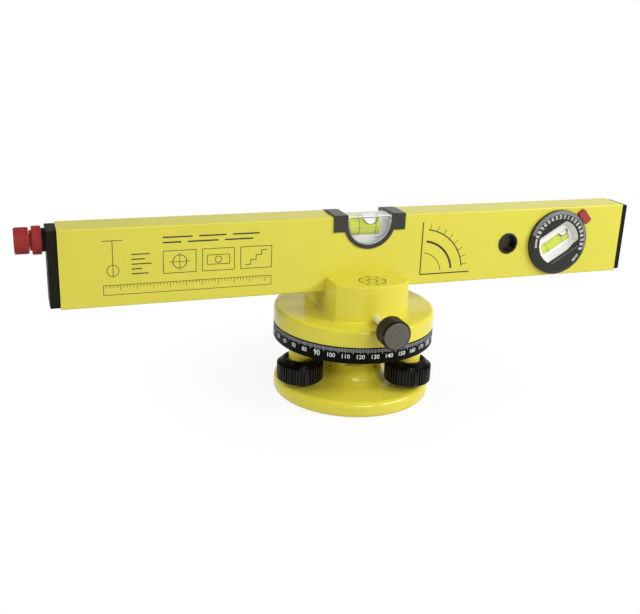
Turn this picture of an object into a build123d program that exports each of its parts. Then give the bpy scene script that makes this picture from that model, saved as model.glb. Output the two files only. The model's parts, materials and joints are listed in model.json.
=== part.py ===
from build123d import *

import os
from math import cos, radians, sin, sqrt

os.makedirs("parts", exist_ok=True)

# A laser spirit level on a three-screw levelling base, in millimetres.
# Z is up, +Y points to the back, and X runs along the beam with the laser at the -X end.
# The origin is the centre of the base plate's underside, on the swivel axis.

# Clearances
seat_gap = 0.05  # pressed, screwed or bonded seats inside one body
running_gap = 0.08  # radial play of whatever turns or slides in a bore
moving_gap = 0.3  # between faces that move past each other

# Base plate and hub
plate_radius = 53.2
plate_thickness = 10.0
plate_top_round = 3.5
plate_bottom_round = 2.5
plate_rim_width = 6.0
plate_skin = 4.5
rib_count = 6
rib_width = 3.0
hub_radius = 21.0
hub_height = 20.0
hub_flare = 6.0
hub_edge_round = 1.0
cup_radius = 15.0
cup_depth = 12.0
hub_slot_width = 3.2
hub_slot_height = 1.6
hub_slot_depth = 2.0
hub_slot_level = 10.0  # above the plate's top
hub_slot_spread = 48.0  # degrees to each side of the middle between two wheels
hub_recess_width = 11.0  # in the middle between two wheels
hub_recess_height = 3.0
hub_recess_level = 14.3  # above the plate's top
bush_radius = 7.0
bush_length = 14.0
bush_wall = 5.0
tripod_thread_radius = 3.175
tripod_thread_depth = 12.0
tie_bolt_radius = 2.5
tie_head_radius = 4.5
tie_head_height = 4.0
tie_head_recess = 2.6  # under the spindle's rim
tie_nut_radius = 4.6
tie_nut_height = 4.0

# Levelling screws
wheel_spread = 41.6
first_screw_angle = -166.0  # degrees from +X, the left wheel
screw_sides = ["left", "right", "back"]
pad_radius = 6.2
pad_height = 3.4
foot_radius = 3.0
foot_seat_depth = 5.0
foot_length = 29.0
thrust_radius = 5.5
wheel_lift = 0.8
wheel_radius = 15.5
wheel_height = 11.4  # up to the bevel
wheel_chamfer = 1.2
wheel_bevel_width = 4.3
wheel_bevel_height = 3.9
wheel_recess_radius = 9.1
wheel_recess_depth = 9.4
wheel_ribs = 48
wheel_rib_rise = 2.0  # how far the ribs climb the bevel
wheel_groove_width = 1.0
wheel_groove_depth = 0.8
nut_radius = 5.2
nut_half_height = 3.2
nut_play = 0.45  # lets the nut tilt on its foot screw
nut_seat_play = 0.1
boss_radius = 7.8
boss_overlap = 6.2  # how far a boss reaches into its wheel's recess
boss_bore_radius = 4.1
nut_level = 8.2  # nut centre above the boss's lower face

# Levelling plate, scale ring and spindle
ring_lift = 8.5  # above the wheels
ring_wall = 4.5
ring_height = 10.7
ring_chamfer = 0.4
tribrach_thickness = 7.0
tribrach_hole_radius = 5.0
glide_inner_radius = 17.0
glide_outer_radius = 29.0
spindle_radius = 10.0
spindle_bore_radius = 7.6
spindle_headroom = 1.0  # under the turret's bore end
spindle_flange_radius = 15.0
spindle_floor = 2.5
spring_inner_radius = 3.6
spring_wall = 1.4

# Turret head
disc_radius = 54.0
disc_thickness = 11.0
disc_top_round = 2.5
disc_skin = 3.5
disc_rim_width = 4.0
disc_pocket_radius = 30.0
turret_radius = 40.0
turret_width = 50.0
turret_height = 24.0
turret_edge_round = 0.8
turret_foot_round = 1.2
turret_bore_roof = 4.0  # material left under the beam
saddle_depth = 10.0
beam_screw_offset = 17.5
beam_screw_radius = 2.0
beam_screw_head_radius = 3.6
beam_screw_head_height = 4.0
beam_screw_grip = 9.0  # turret material under the beam that the screw clamps
nut_plate_length = 46.0
nut_plate_width = 16.0
nut_plate_thickness = 4.0

# Clamp
clamp_lift = 2.9  # axis above the disc
clamp_radius = 2.5
clamp_groove_depth = 1.2
clamp_knob_radius = 9.6
clamp_knob_length = 11.5
clamp_knob_gap = 6.5  # from the disc's rim to the knob
clamp_knob_chamfer = 0.9
clamp_socket_depth = 7.0
clamp_grooves = 36
clamp_groove_size = 0.8
insert_radius = 8.4
insert_thickness = 1.5
insert_stand = 0.4

# Beam and end caps
beam_length = 400.0  # over both end caps
beam_height = 49.0
beam_depth = 22.5
beam_wall = 1.8
beam_edge_round = 1.0
beam_shift = 3.0  # beam middle from the swivel axis
left_cap_thickness = 6.0
right_cap_thickness = 4.5
cap_inset = 0.85  # inside the beam's outline
cap_edge_round = 0.5
spigot_length = 8.0
spigot_wall = 1.8

# Top vial
vial_shift = 0.7  # vial's middle right of the beam's middle
frame_width = 49.7
frame_stand = 0.8  # proud of the beam, front and back
ear_rise = 1.3
ear_drop = 9.8
ear_depth = 18.0  # of the raised part, from the frame's front
ear_round = 0.8
window_radius = 15.3
window_rim = 2.5
window_level = 4.0  # round part's centre under the beam's top
vial_block_thickness = 13.0
vial_block_inset = 0.5  # behind the frame's front
vial_block_bevel = 0.6
vial_bore_radius = 5.8
vial_bore_drop = 7.4
vial_end_wall = 1.3
vial_plug_start = 7.3  # right of the vial's middle
bubble_radius = 4.6  # its rounded underside, seen from the front
bubble_rise = 0.8
bubble_shift = 0.9

# Hole plug and angle dial
hole_plug_spacing = 39.0  # to the dial's centre
hole_plug_rise = 0.6  # above the beam's middle
hole_plug_radius = 7.4
hole_plug_stand = 0.5
hole_plug_stem_radius = 6.6
hole_plug_stem = 5.0
hole_plug_bore_radius = 5.9
hole_plug_floor = 1.2
hole_plug_round = 0.3
dial_inset = 56.5  # centre from the beam's right end
dial_radius = 22.9
dial_stand = 3.5
dial_bevel_width = 2.4
dial_bevel_drop = 1.2
drum_radius = 19.6
dial_turn = 31.0  # degrees that the angle vial stands at
dial_window_radius = 16.0
dial_window_half = 10.1
dial_window_chord_offset = 1.0
dial_block_recess = 0.8
dial_block_thickness = 8.0
dial_reflector_thickness = 1.2
dial_reflector_wall = 0.8
dial_web = 1.5
angle_bore_radius = 3.05
angle_bore_offset = 3.0
angle_bore_reach = 11.5
angle_plug_length = 2.0
angle_bubble_length = 5.0
angle_bubble_radius = 1.6
angle_bubble_sink = 0.9
dial_key_foot = 4.2
dial_key_peak = 10.0
dial_key_end = 14.6
dial_key_rise = 2.0
dial_cover_thickness = 2.2
dial_cover_spigot = 4.0
dial_cover_wall = 2.0
index_angle = 41.4
index_width = 10.5
index_length = 5.8
index_gap = 0.4
index_stand = 2.4
index_round = 1.2
index_pin_radius = 1.5

# Battery tube, cap and switch
tube_wall = 0.6
tube_gap = 0.4  # under the beam's top wall
cell_gap = 0.25  # around the cells in the tube
neck_radius = 7.0  # on the left end cap, around the tube
collar_length = 2.3
cap_wall = 1.42
cap_length = 5.3
cap_end_wall = 1.2
cap_chamfer = 0.4
cap_grooves = 40
cap_groove_size = 0.6
stem_neck_radius = 6.0
stem_neck_length = 1.3
stem_plug_length = 2.9
stem_shaft_radius = 3.5
stem_shaft_length = 6.8
knob_radius = 7.9
knob_length = 8.5
knob_chamfer = 0.7
knob_grooves = 32
knob_groove_size = 0.7
contact_spring_radius = 3.2
contact_spring_wall = 1.0
contact_spring_length = 5.0
cell_radius = 5.25
cell_length = 43.7
cell_round = 0.4
cell_tip_radius = 1.9
cell_tip_length = 0.8
contact_thickness = 0.5
contact_tab_width = 5.0
contact_tab_drop = 20.0

# Laser
laser_level = 18.4  # axis above the beam's underside
aperture_radius = 3.0
aperture_glass_radius = 4.2
aperture_glass_thickness = 1.5
laser_radius = 6.0
laser_length = 26.0
laser_bore_radius = 4.5
laser_throat_radius = 2.9
lens_seat_depth = 5.0
lens_thickness = 3.0
diode_flange = 1.5
diode_can_radius = 2.7
diode_can_length = 3.5
diode_pin_radius = 0.4
diode_pin_spread = 1.3
diode_pin_length = 18.0
chassis_front = 10.0  # from the beam's left end
chassis_length = 70.0
chassis_floor = 3.0
chassis_post = 14.0
board_start = 36.0
board_height = 24.0
board_thickness = 1.6
board_slot_depth = 1.5

# The scale ring is flush with the disc
ring_radius = disc_radius
tribrach_radius = ring_radius - ring_wall

# Levels, from the ground up
pad_top = plate_thickness + pad_height
hub_top = plate_thickness + hub_height
cup_floor = hub_top - cup_depth
wheel_bottom = pad_top + wheel_lift
wheel_rim = wheel_bottom + wheel_height
wheel_top = wheel_rim + wheel_bevel_height
boss_bottom = wheel_top - boss_overlap
nut_z = boss_bottom + nut_level
ring_bottom = wheel_top + ring_lift
ring_top = ring_bottom + ring_height
tribrach_bottom = ring_bottom
tribrach_top = tribrach_bottom + tribrach_thickness
disc_bottom = ring_top + moving_gap
disc_top = disc_bottom + disc_thickness
turret_top = disc_top + turret_height
beam_bottom = turret_top - saddle_depth
beam_middle = beam_bottom + beam_height / 2
beam_top = beam_bottom + beam_height
clamp_z = disc_top + clamp_lift
clamp_knob_reach = disc_radius + clamp_knob_gap + clamp_knob_length
turret_bore_top = beam_bottom - turret_bore_roof
spindle_top = turret_bore_top - spindle_headroom
tie_bolt_start = bush_length + seat_gap
tie_bolt_top = spindle_top - tie_head_recess - tie_head_height
tube_bore_radius = cell_radius + cell_gap
tube_radius = tube_bore_radius + tube_wall
tube_z = beam_top - beam_wall - tube_gap - tube_radius
laser_z = beam_bottom + laser_level

# A wheel's core at the bottom of its grooves
wheel_core_radius = wheel_radius - wheel_groove_depth
wheel_rib_reach = wheel_bevel_width * wheel_rib_rise / wheel_bevel_height

# Places along the beam
beam_front = beam_depth / 2
x_left = beam_shift - beam_length / 2
x_right = beam_shift + beam_length / 2
beam_start = x_left + left_cap_thickness
beam_end = x_right - right_cap_thickness
inner_depth = beam_depth - 2 * beam_wall
inner_height = beam_height - 2 * beam_wall
cap_depth = beam_depth - 2 * cap_inset
cap_height = beam_height - 2 * cap_inset
vial_x = beam_shift + vial_shift
vial_block_front = -beam_front - frame_stand + vial_block_inset
vial_y = vial_block_front + vial_block_thickness / 2
vial_z = beam_top - vial_bore_drop
plug_x = vial_x + vial_plug_start
window_z = beam_top - window_level
dial_x = x_right - dial_inset
hole_plug_x = dial_x - hole_plug_spacing
hole_plug_z = beam_middle + hole_plug_rise
hole_plug_plane = Plane((hole_plug_x, -beam_front, hole_plug_z), z_dir=(0, -1, 0))

# Places of the battery and the laser
cap_radius = neck_radius + running_gap + cap_wall
cap_mouth = x_left - collar_length
cap_end = cap_mouth - cap_length
tube_start = cap_end + cap_end_wall + moving_gap
stem_plug_end = cap_end + cap_end_wall + stem_plug_length
knob_mouth = cap_end - stem_neck_length - moving_gap
cell_pitch = cell_length + cell_tip_length
first_cell = stem_plug_end + contact_spring_length + moving_gap
tube_end = first_cell + 2 * cell_pitch
laser_end = beam_start + laser_length
board_end = tube_end - seat_gap
board_face = diode_pin_radius + seat_gap
beam_floor = beam_bottom + beam_wall
board_bottom = beam_floor + chassis_floor - board_slot_depth + 2 * seat_gap


def screw_plane(index):
    """Upright plane on a levelling screw's axis, at ground level."""
    angle = radians(first_screw_angle + 120 * index)
    return Plane((wheel_spread * cos(angle), wheel_spread * sin(angle), 0))


def side_section(plane):
    """Section plane through a vertical axis, with its own x outward and its own y up."""
    return Plane(plane.origin, x_dir=(1, 0, 0), z_dir=(0, -1, 0))


def corner(sketch, x, y):
    """The vertex of a sketch nearest to a point."""
    return sketch.vertices().sort_by_distance((x, y))[0]


def screw_circles(radius):
    """One circle on each levelling screw's axis."""
    with PolarLocations(wheel_spread, 3, start_angle=first_screw_angle):
        Circle(radius)


def draw_wheel_section(*side):
    """Half section of a levelling wheel; the side's points run from the bottom up."""
    bore = foot_radius + seat_gap
    floor = wheel_top - wheel_recess_depth
    with BuildLine() as outline:
        Polyline((bore, wheel_bottom), (wheel_radius - wheel_chamfer, wheel_bottom), *side,
                 (wheel_radius - wheel_bevel_width, wheel_top), (wheel_recess_radius, wheel_top),
                 (wheel_recess_radius, floor), (bore, floor), close=True)
    make_face(outline.edges())


def tube_plane(x):
    """Plane across the battery tube, facing +X."""
    return Plane((x, 0, tube_z), x_dir=(0, 1, 0), z_dir=(1, 0, 0))


def laser_plane(x):
    """Plane across the laser, facing +X."""
    return Plane((x, 0, laser_z), x_dir=(0, 1, 0), z_dir=(1, 0, 0))


def dial_plane(y):
    """Plane across the dial, facing the front, with its own x along the angle vial."""
    turn = radians(dial_turn)
    return Plane((dial_x, y, beam_middle), x_dir=(cos(turn), 0, sin(turn)), z_dir=(0, -1, 0))


def angle_vial_plane(along, y):
    """Plane across the angle vial's bore, facing up its slope."""
    place = dial_plane(y).from_local_coords(Vector(along, angle_bore_offset, 0))
    return Plane(place, x_dir=(0, 1, 0), z_dir=dial_plane(y).x_dir)


def draw_seat_outline(shrink=0.0):
    """Front outline of the top vial's frame: two ears over a round belly."""
    half = frame_width / 2 - shrink
    low = beam_top - ear_drop + shrink
    high = beam_top + ear_rise
    radius = window_radius + window_rim - shrink
    reach = sqrt(radius**2 - (window_z - low) ** 2)
    with BuildLine() as outline:
        Polyline((vial_x + reach, low), (vial_x + half, low), (vial_x + half, high),
                 (vial_x - half, high), (vial_x - half, low), (vial_x - reach, low))
        ThreePointArc((vial_x - reach, low), (vial_x, window_z - radius), (vial_x + reach, low))
    make_face(outline.edges())


def draw_window(radius, top, mode=Mode.ADD):
    """Front outline of the top vial's window: flat top, round belly."""
    with BuildLine() as outline:
        Polyline((vial_x + radius, window_z), (vial_x + radius, top),
                 (vial_x - radius, top), (vial_x - radius, window_z))
        ThreePointArc((vial_x - radius, window_z), (vial_x, window_z - radius),
                      (vial_x + radius, window_z))
    make_face(outline.edges(), mode=mode)


def vial_plane(x):
    """Plane across the top vial's bore, facing +X."""
    return Plane((x, vial_y, vial_z), x_dir=(0, 1, 0), z_dir=(1, 0, 0))


def vial_bar(radius, left, right, inset):
    """A round bar on the top vial's axis, trimmed to the window's outline."""
    with BuildPart() as bar:
        with BuildSketch(vial_plane(left)):
            Circle(radius)
        extrude(amount=right - left)
        with BuildSketch(Plane.XZ.offset(-vial_y)):
            draw_window(window_radius - inset, beam_top)
        extrude(amount=vial_bore_radius, both=True, mode=Mode.INTERSECT)
    return bar.part


def draw_dial_window(shrink=0.0):
    """The dial's window: a circle cut by two chords beside the vial."""
    Circle(dial_window_radius - shrink)
    with Locations((0, dial_window_chord_offset)):
        Rectangle(2 * dial_window_radius, 2 * (dial_window_half - shrink), mode=Mode.INTERSECT)


# Base body

with BuildPart() as base_plate:
    with BuildSketch(Plane.XZ) as base_section:
        with BuildLine():
            Polyline((0, 0), (plate_radius, 0), (plate_radius, plate_thickness),
                     (hub_radius, plate_thickness), (hub_radius, hub_top),
                     (cup_radius, hub_top), (cup_radius, cup_floor), (0, cup_floor), close=True)
        make_face()
        fillet(corner(base_section, plate_radius, 0), plate_bottom_round)
        fillet(corner(base_section, plate_radius, plate_thickness), plate_top_round)
        fillet(corner(base_section, hub_radius, plate_thickness), hub_flare)
        fillet(corner(base_section, hub_radius, hub_top), hub_edge_round)
    revolve(axis=Axis.Z)
    with BuildSketch(Plane.XY):
        Circle(plate_radius - plate_rim_width)
        Circle(bush_radius + bush_wall, mode=Mode.SUBTRACT)
        with PolarLocations(0, rib_count):
            Rectangle(plate_radius, rib_width, align=(Align.MIN, Align.CENTER), mode=Mode.SUBTRACT)
    extrude(amount=plate_thickness - plate_skin, mode=Mode.SUBTRACT)
    with BuildSketch(Plane.XY):
        Circle(bush_radius + seat_gap)
    extrude(amount=bush_length, mode=Mode.SUBTRACT)
    with BuildSketch(Plane.XY.offset(bush_length)):
        Circle(tie_bolt_radius + seat_gap)
    extrude(amount=cup_floor - bush_length, mode=Mode.SUBTRACT)
    with BuildSketch(Plane.XY.offset(plate_thickness)):
        screw_circles(pad_radius)
    extrude(amount=pad_height)
    with BuildSketch(Plane.XY.offset(pad_top)):
        screw_circles(foot_radius + running_gap)
    extrude(amount=-foot_seat_depth, mode=Mode.SUBTRACT)
    hub_slot = (hub_slot_width, hub_slot_height, hub_slot_level)
    hub_recess = (hub_recess_width, hub_recess_height, hub_recess_level)
    recesses = ((-hub_slot_spread, hub_slot), (hub_slot_spread, hub_slot), (0, hub_recess))
    for turn, (width, height, level) in recesses:
        with Locations((0, 0, plate_thickness + level)):
            with PolarLocations(hub_radius, 3, start_angle=first_screw_angle + 60 + turn):
                Box(2 * hub_slot_depth, width, height, mode=Mode.SUBTRACT)
base_plate.part.label = "base_plate"
export_step(base_plate.part, "parts/base_plate.step")

with BuildPart() as tripod_bush:
    with BuildSketch(Plane.XY):
        Circle(bush_radius)
    extrude(amount=bush_length)
    with BuildSketch(Plane.XY):
        Circle(tripod_thread_radius)
    extrude(amount=tripod_thread_depth, mode=Mode.SUBTRACT)
tripod_bush.part.label = "tripod_bush"
export_step(tripod_bush.part, "parts/tripod_bush.step")

with BuildPart() as tie_bolt:
    with BuildSketch(Plane.XY.offset(tie_bolt_start)):
        Circle(tie_bolt_radius)
    extrude(amount=tie_bolt_top - tie_bolt_start)
    with BuildSketch(Plane.XY.offset(tie_bolt_top)):
        Circle(tie_head_radius)
    extrude(amount=tie_head_height)
tie_bolt.part.label = "tie_bolt"
export_step(tie_bolt.part, "parts/tie_bolt.step")

with BuildPart() as tie_nut:
    with BuildSketch(Plane.XY.offset(cup_floor)):
        RegularPolygon(tie_nut_radius, 6)
        Circle(tie_bolt_radius + seat_gap, mode=Mode.SUBTRACT)
    extrude(amount=tie_nut_height)
tie_nut.part.label = "tie_nut"
export_step(tie_nut.part, "parts/tie_nut.step")

# Levelling screws

for index, side in enumerate(screw_sides):
    axis_plane = screw_plane(index)

    with BuildPart() as wheel:
        with BuildSketch(side_section(axis_plane)):
            draw_wheel_section((wheel_radius, wheel_bottom + wheel_chamfer), (wheel_radius, wheel_rim))
        revolve(axis=Axis(axis_plane.origin, (0, 0, 1)))
        with BuildSketch(axis_plane.offset(wheel_bottom)):
            with PolarLocations(wheel_radius, wheel_ribs):
                Rectangle(2 * wheel_rib_reach, wheel_groove_width)
        extrude(amount=wheel_top - wheel_bottom, mode=Mode.SUBTRACT)
        with BuildSketch(side_section(axis_plane)):
            draw_wheel_section((wheel_core_radius, wheel_bottom + wheel_chamfer - wheel_groove_depth),
                               (wheel_core_radius, wheel_rim - wheel_groove_depth),
                               (wheel_radius - wheel_rib_reach, wheel_rim + wheel_rib_rise))
        revolve(axis=Axis(axis_plane.origin, (0, 0, 1)))
    wheel.part.label = f"levelling_wheel_{side}"
    export_step(wheel.part, f"parts/levelling_wheel_{side}.step")

    with BuildPart() as foot_screw:
        with BuildSketch(axis_plane.offset(pad_top - foot_seat_depth + moving_gap)):
            Circle(foot_radius)
        extrude(amount=foot_length)
        with BuildSketch(axis_plane.offset(pad_top + moving_gap)):
            Circle(thrust_radius)
        extrude(amount=wheel_lift - moving_gap)
    foot_screw.part.label = f"foot_screw_{side}"
    export_step(foot_screw.part, f"parts/foot_screw_{side}.step")

    with BuildPart() as swivel_nut:
        with BuildSketch(side_section(axis_plane)):
            flat_radius = sqrt(nut_radius**2 - nut_half_height**2)
            bore = foot_radius + nut_play
            low = nut_z - nut_half_height
            high = nut_z + nut_half_height
            with BuildLine():
                Polyline((bore, low), (flat_radius, low))
                ThreePointArc((flat_radius, low), (nut_radius, nut_z), (flat_radius, high))
                Polyline((flat_radius, high), (bore, high), (bore, low))
            make_face()
        revolve(axis=Axis(axis_plane.origin, (0, 0, 1)))
    swivel_nut.part.label = f"swivel_nut_{side}"
    export_step(swivel_nut.part, f"parts/swivel_nut_{side}.step")

# Levelling plate body

with BuildPart() as tribrach_plate:
    with BuildSketch(Plane.XY.offset(tribrach_bottom)):
        Circle(tribrach_radius)
    extrude(amount=tribrach_thickness)
    with BuildSketch(Plane.XY.offset(boss_bottom)):
        screw_circles(boss_radius)
    extrude(amount=tribrach_bottom - boss_bottom)
    with BuildSketch(Plane.XY.offset(boss_bottom)):
        screw_circles(boss_bore_radius)
        Circle(tribrach_hole_radius)
    extrude(amount=tribrach_top - boss_bottom, mode=Mode.SUBTRACT)
    with BuildSketch(Plane.XY.offset(nut_z)):
        screw_circles(nut_radius + nut_seat_play)
    extrude(amount=tribrach_top - nut_z, mode=Mode.SUBTRACT)
    with Locations((0, 0, nut_z)):
        with PolarLocations(wheel_spread, 3, start_angle=first_screw_angle):
            Sphere(nut_radius + nut_seat_play, mode=Mode.SUBTRACT)
tribrach_plate.part.label = "tribrach_plate"
export_step(tribrach_plate.part, "parts/tribrach_plate.step")

with BuildPart() as scale_ring:
    with BuildSketch(Plane.XY.offset(ring_bottom)):
        Circle(ring_radius)
    extrude(amount=ring_height)
    chamfer(scale_ring.edges().filter_by(GeomType.CIRCLE), ring_chamfer)
    with BuildSketch(Plane.XY.offset(ring_bottom)):
        Circle(tribrach_radius + seat_gap)
    extrude(amount=ring_height, mode=Mode.SUBTRACT)
scale_ring.part.label = "scale_ring"
export_step(scale_ring.part, "parts/scale_ring.step")

with BuildPart() as spindle:
    with BuildSketch(Plane.XY.offset(tribrach_top)):
        Circle(spindle_flange_radius)
    extrude(amount=spindle_floor)
    with BuildSketch(Plane.XY.offset(tribrach_top)):
        Circle(spindle_radius)
    extrude(amount=spindle_top - tribrach_top)
    with BuildSketch(Plane.XY.offset(tribrach_top + spindle_floor)):
        Circle(spindle_bore_radius)
    extrude(amount=spindle_top - tribrach_top - spindle_floor, mode=Mode.SUBTRACT)
    with BuildSketch(Plane.XY.offset(tribrach_top)):
        Circle(tribrach_hole_radius)
    extrude(amount=spindle_floor, mode=Mode.SUBTRACT)
    with BuildSketch(Plane.XY.offset(clamp_z)):
        Circle(spindle_flange_radius)
        Circle(spindle_radius - clamp_groove_depth, mode=Mode.SUBTRACT)
    extrude(amount=clamp_radius + moving_gap, both=True, mode=Mode.SUBTRACT)
spindle.part.label = "spindle"
export_step(spindle.part, "parts/spindle.step")

with BuildPart() as glide_ring:
    with BuildSketch(Plane.XY.offset(tribrach_top)):
        Circle(glide_outer_radius)
        Circle(glide_inner_radius, mode=Mode.SUBTRACT)
    extrude(amount=disc_bottom - moving_gap - tribrach_top)
glide_ring.part.label = "glide_ring"
export_step(glide_ring.part, "parts/glide_ring.step")

with BuildPart() as tension_spring:
    with BuildSketch(Plane.XY.offset(tribrach_top + spindle_floor)):
        Circle(spring_inner_radius + spring_wall)
        Circle(spring_inner_radius, mode=Mode.SUBTRACT)
    extrude(amount=tie_bolt_top - moving_gap - tribrach_top - spindle_floor)
tension_spring.part.label = "tension_spring"
export_step(tension_spring.part, "parts/tension_spring.step")

# Swivelling head body

with BuildPart() as turret_head:
    with BuildSketch(Plane.XY.offset(disc_top)):
        Circle(turret_radius)
        Rectangle(turret_width, 2 * turret_radius, mode=Mode.INTERSECT)
    extrude(amount=turret_height)
    fillet(turret_head.edges().filter_by(Axis.Z), turret_edge_round)
    with BuildSketch(Plane.YZ):
        with Locations((0, beam_bottom)):
            Rectangle(beam_depth + 2 * seat_gap, saddle_depth, align=(Align.CENTER, Align.MIN))
    extrude(amount=turret_width, both=True, mode=Mode.SUBTRACT)
    fillet(turret_head.edges().group_by(Axis.Z)[-1], turret_edge_round)
    with BuildSketch(Plane.XZ) as disc_section:
        with BuildLine():
            Polyline((0, disc_bottom), (disc_radius, disc_bottom), (disc_radius, disc_top),
                     (0, disc_top), close=True)
        make_face()
        fillet(corner(disc_section, disc_radius, disc_top), disc_top_round)
    revolve(axis=Axis.Z)
    foot_edges = turret_head.edges().filter_by_position(Axis.Z, disc_top, disc_top)
    fillet(foot_edges.sort_by(SortBy.LENGTH)[:-1], turret_foot_round)
    with BuildSketch(Plane.XY.offset(disc_bottom)):
        Circle(disc_radius - disc_rim_width)
        Circle(disc_pocket_radius, mode=Mode.SUBTRACT)
    extrude(amount=disc_thickness - disc_skin, mode=Mode.SUBTRACT)
    with BuildSketch(Plane.XY.offset(disc_bottom)):
        Circle(spindle_radius + running_gap)
    extrude(amount=turret_bore_top - disc_bottom, mode=Mode.SUBTRACT)
    with BuildSketch(Plane.XY.offset(disc_bottom)):
        with Locations((-beam_screw_offset, 0), (beam_screw_offset, 0)):
            Circle(beam_screw_head_radius + seat_gap)
    extrude(amount=beam_bottom - beam_screw_grip - disc_bottom, mode=Mode.SUBTRACT)
    with BuildSketch(Plane.XY.offset(disc_bottom)):
        with Locations((-beam_screw_offset, 0), (beam_screw_offset, 0)):
            Circle(beam_screw_radius + seat_gap)
    extrude(amount=beam_bottom - disc_bottom, mode=Mode.SUBTRACT)
    with BuildSketch(Plane.XZ):
        with Locations((0, clamp_z)):
            Circle(clamp_radius + running_gap)
    extrude(amount=turret_radius + turret_foot_round, mode=Mode.SUBTRACT)
turret_head.part.label = "turret_head"
export_step(turret_head.part, "parts/turret_head.step")

with BuildPart() as beam:
    with BuildSketch(Plane.YZ.offset(beam_start)):
        with Locations((0, beam_middle)):
            RectangleRounded(beam_depth, beam_height, beam_edge_round)
            Rectangle(inner_depth, inner_height, mode=Mode.SUBTRACT)
    extrude(amount=beam_end - beam_start)
    with BuildSketch(Plane.XZ):
        draw_seat_outline()
        with Locations((dial_x, beam_middle)):
            Circle(drum_radius + running_gap)
    extrude(amount=beam_depth, both=True, mode=Mode.SUBTRACT)
    with BuildSketch(Plane.XZ):
        with Locations((hole_plug_x, hole_plug_z)):
            Circle(hole_plug_stem_radius + seat_gap)
        with Locations((dial_x, beam_middle)):
            with PolarLocations(dial_radius + index_gap + index_length / 2, 1, start_angle=index_angle):
                Circle(index_pin_radius + seat_gap)
    extrude(amount=beam_depth, mode=Mode.SUBTRACT)
    with BuildSketch(Plane.XY.offset(beam_bottom)):
        with Locations((-beam_screw_offset, 0), (beam_screw_offset, 0)):
            Circle(beam_screw_radius + seat_gap)
    extrude(amount=beam_wall, mode=Mode.SUBTRACT)
beam.part.label = "beam"
export_step(beam.part, "parts/beam.step")

for side, x in (("left", -beam_screw_offset), ("right", beam_screw_offset)):
    screw_seat = beam_bottom - beam_screw_grip
    with BuildPart() as beam_screw:
        with BuildSketch(Plane((x, 0, screw_seat))):
            Circle(beam_screw_head_radius)
        extrude(amount=-beam_screw_head_height)
        with BuildSketch(Plane((x, 0, screw_seat))):
            Circle(beam_screw_radius)
        extrude(amount=beam_screw_grip + beam_wall + nut_plate_thickness)
    beam_screw.part.label = f"beam_screw_{side}"
    export_step(beam_screw.part, f"parts/beam_screw_{side}.step")

with BuildPart() as nut_plate:
    with BuildSketch(Plane.XY.offset(beam_floor)):
        Rectangle(nut_plate_length, nut_plate_width)
        with Locations((-beam_screw_offset, 0), (beam_screw_offset, 0)):
            Circle(beam_screw_radius + seat_gap, mode=Mode.SUBTRACT)
    extrude(amount=nut_plate_thickness)
nut_plate.part.label = "nut_plate"
export_step(nut_plate.part, "parts/nut_plate.step")

with BuildPart() as left_end_cap:
    with BuildSketch(Plane.YZ.offset(x_left)):
        with Locations((0, beam_middle)):
            RectangleRounded(cap_depth, cap_height, beam_edge_round)
    extrude(amount=left_cap_thickness)
    fillet(left_end_cap.edges().group_by(Axis.X)[0], cap_edge_round)
    with BuildSketch(Plane.YZ.offset(beam_start)):
        with Locations((0, beam_middle)):
            Rectangle(inner_depth - 2 * seat_gap, inner_height - 2 * seat_gap)
            Rectangle(inner_depth - 2 * spigot_wall, inner_height - 2 * spigot_wall, mode=Mode.SUBTRACT)
    extrude(amount=spigot_length)
    with BuildSketch(tube_plane(x_left)):
        Circle(neck_radius)
    extrude(amount=tube_start - x_left)
    with BuildSketch(tube_plane(tube_start)):
        Circle(tube_radius + seat_gap)
    extrude(amount=beam_start + spigot_length - tube_start, mode=Mode.SUBTRACT)
    with BuildSketch(laser_plane(x_left)):
        Circle(aperture_radius)
    extrude(amount=left_cap_thickness, mode=Mode.SUBTRACT)
    with BuildSketch(laser_plane(beam_start)):
        Circle(aperture_glass_radius + seat_gap)
    extrude(amount=-aperture_glass_thickness, mode=Mode.SUBTRACT)
left_end_cap.part.label = "left_end_cap"
export_step(left_end_cap.part, "parts/left_end_cap.step")

with BuildPart() as right_end_cap:
    with BuildSketch(Plane.YZ.offset(beam_end)):
        with Locations((0, beam_middle)):
            RectangleRounded(cap_depth, cap_height, beam_edge_round)
    extrude(amount=right_cap_thickness)
    fillet(right_end_cap.edges().group_by(Axis.X)[-1], cap_edge_round)
    with BuildSketch(Plane.YZ.offset(beam_end)):
        with Locations((0, beam_middle)):
            Rectangle(inner_depth - 2 * seat_gap, inner_height - 2 * seat_gap)
            Rectangle(inner_depth - 2 * spigot_wall, inner_height - 2 * spigot_wall, mode=Mode.SUBTRACT)
    extrude(amount=-spigot_length)
right_end_cap.part.label = "right_end_cap"
export_step(right_end_cap.part, "parts/right_end_cap.step")

with BuildPart() as vial_frame:
    with BuildSketch(Plane.XZ):
        draw_seat_outline(seat_gap)
        draw_window(window_radius, beam_top + 2 * ear_rise, mode=Mode.SUBTRACT)
    extrude(amount=beam_front + frame_stand, both=True)
    fillet(vial_frame.edges().filter_by(Axis.Y).group_by(Axis.Z)[-1], ear_round)
    with BuildSketch(Plane((vial_x, ear_depth - beam_front - frame_stand, beam_top))):
        Rectangle(frame_width, beam_depth, align=(Align.CENTER, Align.MIN))
    extrude(amount=ear_rise, mode=Mode.SUBTRACT)
vial_frame.part.label = "vial_frame"
export_step(vial_frame.part, "parts/vial_frame.step")

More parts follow.
